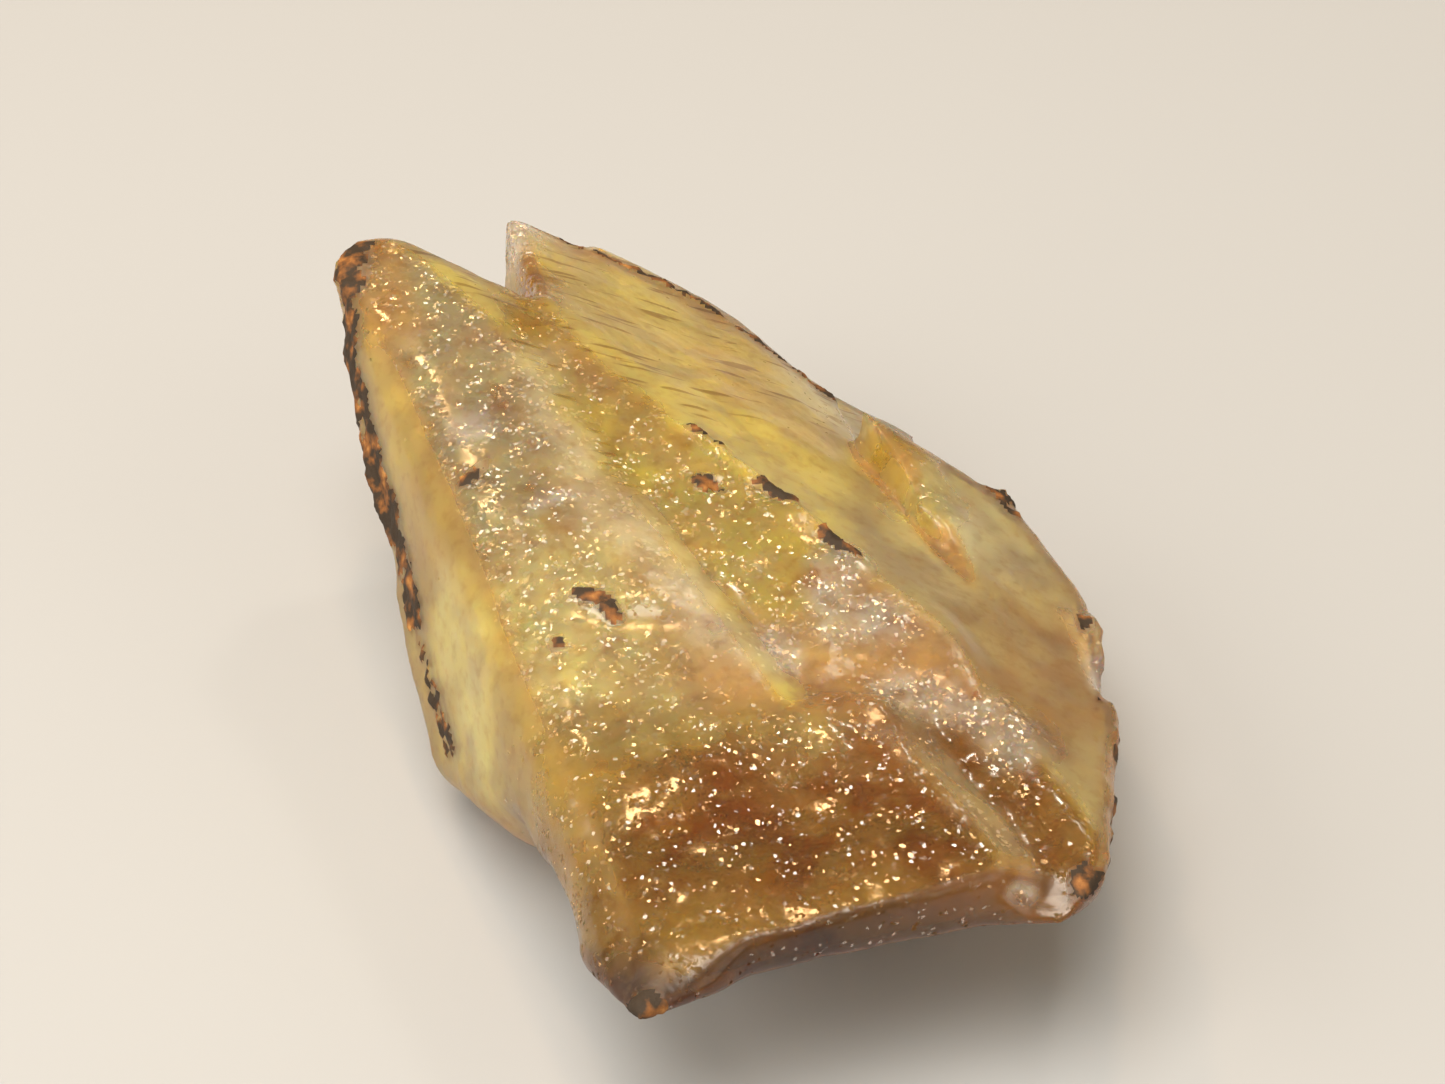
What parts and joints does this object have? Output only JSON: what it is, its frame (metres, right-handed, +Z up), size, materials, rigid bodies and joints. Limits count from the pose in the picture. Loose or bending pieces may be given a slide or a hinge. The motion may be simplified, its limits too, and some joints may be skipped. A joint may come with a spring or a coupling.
{
  "type": "dogtooth calcite crystal",
  "caption": "Honey-coloured dogtooth calcite specimen: long pointed crystals grown side by side on a broken base, lying on its flat underside.",
  "frame": {"origin": "middle of the outline seen from above, on the surface that the specimen rests on", "axes": "+Z up, +Y from the broken front to the points at the back, along its longest extent, +X to the right"},
  "size_m": [0.0442, 0.0644, 0.022],
  "materials": {
    "calcite": "satin"
  },
  "bodies": {
    "root": {"calcite_crystal": "calcite"}
  },
  "joints": []
}
